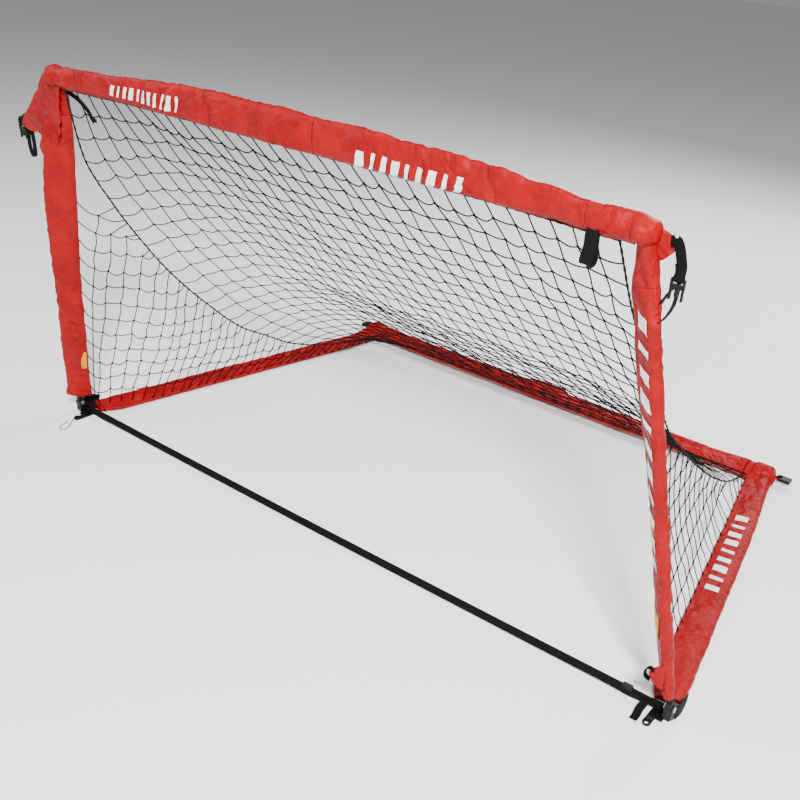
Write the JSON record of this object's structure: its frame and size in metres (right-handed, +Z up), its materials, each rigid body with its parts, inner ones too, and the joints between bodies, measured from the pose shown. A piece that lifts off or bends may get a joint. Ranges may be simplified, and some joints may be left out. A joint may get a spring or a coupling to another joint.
{
  "type": "folding lawn goal",
  "caption": "Folding lawn soccer goal with a hinged pole frame in cloth sleeves, a sloping back net, side nets and a ground strap.",
  "frame": {"origin": "centre of the goal's footprint, on the ground", "axes": "+X across the mouth, to the right seen from the front; +Y from the mouth to the back; +Z up"},
  "size_m": [2.0243, 1.298, 1.0367],
  "materials": {
    "red_cloth": "satin nylon, gathered",
    "net": "matt knotted cord",
    "rope": "matt braided rope",
    "webbing": "woven webbing",
    "black_plastic": "fine texture",
    "pole": "satin powder coat",
    "pin": "zinc plated"
  },
  "bodies": {
    "left_base": {"left_base_foot": "black_plastic", "left_base_pole": "pole", "left_rear_boss": "black_plastic", "left_foot_pin": "pin", "left_rear_pin": "pin", "left_base_sleeve": "red_cloth", "left_side_net": "net", "left_rear_tab": "red_cloth", "left_buckle_socket": "black_plastic", "ground_strap": "webbing"},
    "left_post": {"left_post_heel": "black_plastic", "left_post_pole": "pole", "left_post_top": "black_plastic", "left_corner_pin": "pin", "left_post_sleeve": "red_cloth", "left_corner_tab": "red_cloth"},
    "left_clip": {"left_buckle_clip": "black_plastic"},
    "crossbar_left": {"crossbar_hub_fork": "black_plastic", "crossbar_left_end": "black_plastic", "crossbar_left_pole": "pole", "crossbar_left_sleeve": "red_cloth", "crossbar_hub_pin": "pin"},
    "crossbar_button": {"crossbar_hub_button": "black_plastic"},
    "crossbar_right": {"crossbar_hub_tongue": "black_plastic", "crossbar_right_end": "black_plastic", "crossbar_right_pole": "pole", "crossbar_right_sleeve": "red_cloth"},
    "right_post": {"right_post_heel": "black_plastic", "right_post_pole": "pole", "right_post_top": "black_plastic", "right_corner_pin": "pin", "right_post_sleeve": "red_cloth", "right_corner_tab": "red_cloth"},
    "right_clip": {"right_buckle_clip": "black_plastic"},
    "right_base": {"right_base_foot": "black_plastic", "right_base_pole": "pole", "right_rear_boss": "black_plastic", "right_foot_pin": "pin", "right_rear_pin": "pin", "right_base_sleeve": "red_cloth", "right_side_net": "net", "right_rear_tab": "red_cloth", "right_buckle_socket": "black_plastic", "strap_tail": "webbing"},
    "adjuster": {"strap_adjuster": "black_plastic"},
    "rear_left": {"rear_bar_hub_fork": "black_plastic", "rear_bar_left_end": "black_plastic", "rear_bar_left_pole": "pole", "rear_bar_left_sleeve": "red_cloth", "rear_bar_hub_pin": "pin"},
    "rear_button": {"rear_bar_hub_button": "black_plastic"},
    "rear_right": {"rear_bar_hub_tongue": "black_plastic", "rear_bar_right_end": "black_plastic", "rear_bar_right_pole": "pole", "rear_bar_right_sleeve": "red_cloth"},
    "net_upper": {"back_net_upper": "net", "seam_ropes_upper": "rope"},
    "net_lower": {"back_net_lower": "net", "seam_ropes_lower": "rope"}
  },
  "joints": [
    {"name": "post_fold", "type": "hinge", "parent": "left_base", "child": "left_post", "pos_m": [-1, -0.53794, 0.036], "axis": [-1, 0, 0], "range_deg": [0, 92], "deforming": ["left_side_net", "right_side_net", "back_net_upper", "back_net_lower", "seam_ropes_upper", "seam_ropes_lower"]},
    {"name": "bar_fold", "type": "hinge", "parent": "left_post", "child": "crossbar_left", "pos_m": [-0.79, -0.63747, 1.02022], "axis": [0, 0.9969, 0.0785], "range_deg": [0, 84], "deforming": ["ground_strap"]},
    {"name": "crossbar_hub", "type": "hinge", "parent": "crossbar_left", "child": "crossbar_right", "pos_m": [0, -0.63747, 1.02022], "axis": [0, 0.9969, 0.0785], "range_deg": [-168, 0]},
    {"name": "right_corner_fold", "type": "hinge", "parent": "crossbar_right", "child": "right_post", "pos_m": [0.79, -0.63747, 1.02022], "axis": [0, 0.9969, 0.0785], "range_deg": [0, 84]},
    {"name": "right_foot_fold", "type": "hinge", "parent": "right_post", "child": "right_base", "pos_m": [1, -0.53794, 0.036], "axis": [-1, 0, 0], "range_deg": [-92, 0]},
    {"name": "rear_corner_fold", "type": "hinge", "parent": "left_base", "child": "rear_left", "pos_m": [-0.79, 0.63306, 0.034], "axis": [0, 0, -1], "range_deg": [0, 84]},
    {"name": "rear_hub", "type": "hinge", "parent": "rear_left", "child": "rear_right", "pos_m": [0, 0.63306, 0.034], "axis": [0, 0, -1], "range_deg": [-168, 0]},
    {"name": "net_lower_fold", "type": "hinge", "parent": "left_base", "child": "net_lower", "pos_m": [0, 0.56686, 0.03], "axis": [1, 0, 0], "range_deg": [0, 27.2]},
    {"name": "net_upper_fold", "type": "hinge", "parent": "left_post", "child": "net_upper", "pos_m": [0, -0.6137, 0.94767], "axis": [1, 0, 0], "range_deg": [-49.33, 0]},
    {"name": "crossbar_button", "type": "slide", "parent": "crossbar_left", "child": "crossbar_button", "axis": [0, 0.9969, 0.0785], "range_m": [0, 0.002], "stiffness_N_per_m": 400, "springref_m": -0.002},
    {"name": "rear_button", "type": "slide", "parent": "rear_left", "child": "rear_button", "axis": [0, 0, -1], "range_m": [0, 0.002], "stiffness_N_per_m": 400, "springref_m": -0.002},
    {"name": "strap_slide", "type": "slide", "parent": "right_base", "child": "adjuster", "axis": [-1, 0, 0], "range_m": [0, 0.12]},
    {"name": "left_clip_swing", "type": "hinge", "parent": "left_post", "child": "left_clip", "pos_m": [-0.99931, -0.60619, 0.86699], "axis": [1, 0, 0], "range_deg": [-45, 45]},
    {"name": "right_clip_swing", "type": "hinge", "parent": "right_post", "child": "right_clip", "pos_m": [0.85754, -0.61249, 0.94705], "axis": [1, 0, 0], "range_deg": [-45, 45]}
  ],
  "couplings": [
    {"joint": "crossbar_hub", "follows": "bar_fold", "ratio": -2},
    {"joint": "right_corner_fold", "follows": "bar_fold", "ratio": 1},
    {"joint": "rear_corner_fold", "follows": "bar_fold", "ratio": 1},
    {"joint": "rear_hub", "follows": "bar_fold", "ratio": -2},
    {"joint": "right_foot_fold", "follows": "post_fold", "ratio": -1},
    {"joint": "net_lower_fold", "follows": "post_fold", "ratio": 0.29516},
    {"joint": "net_upper_fold", "follows": "post_fold", "ratio": -0.5356}
  ]
}
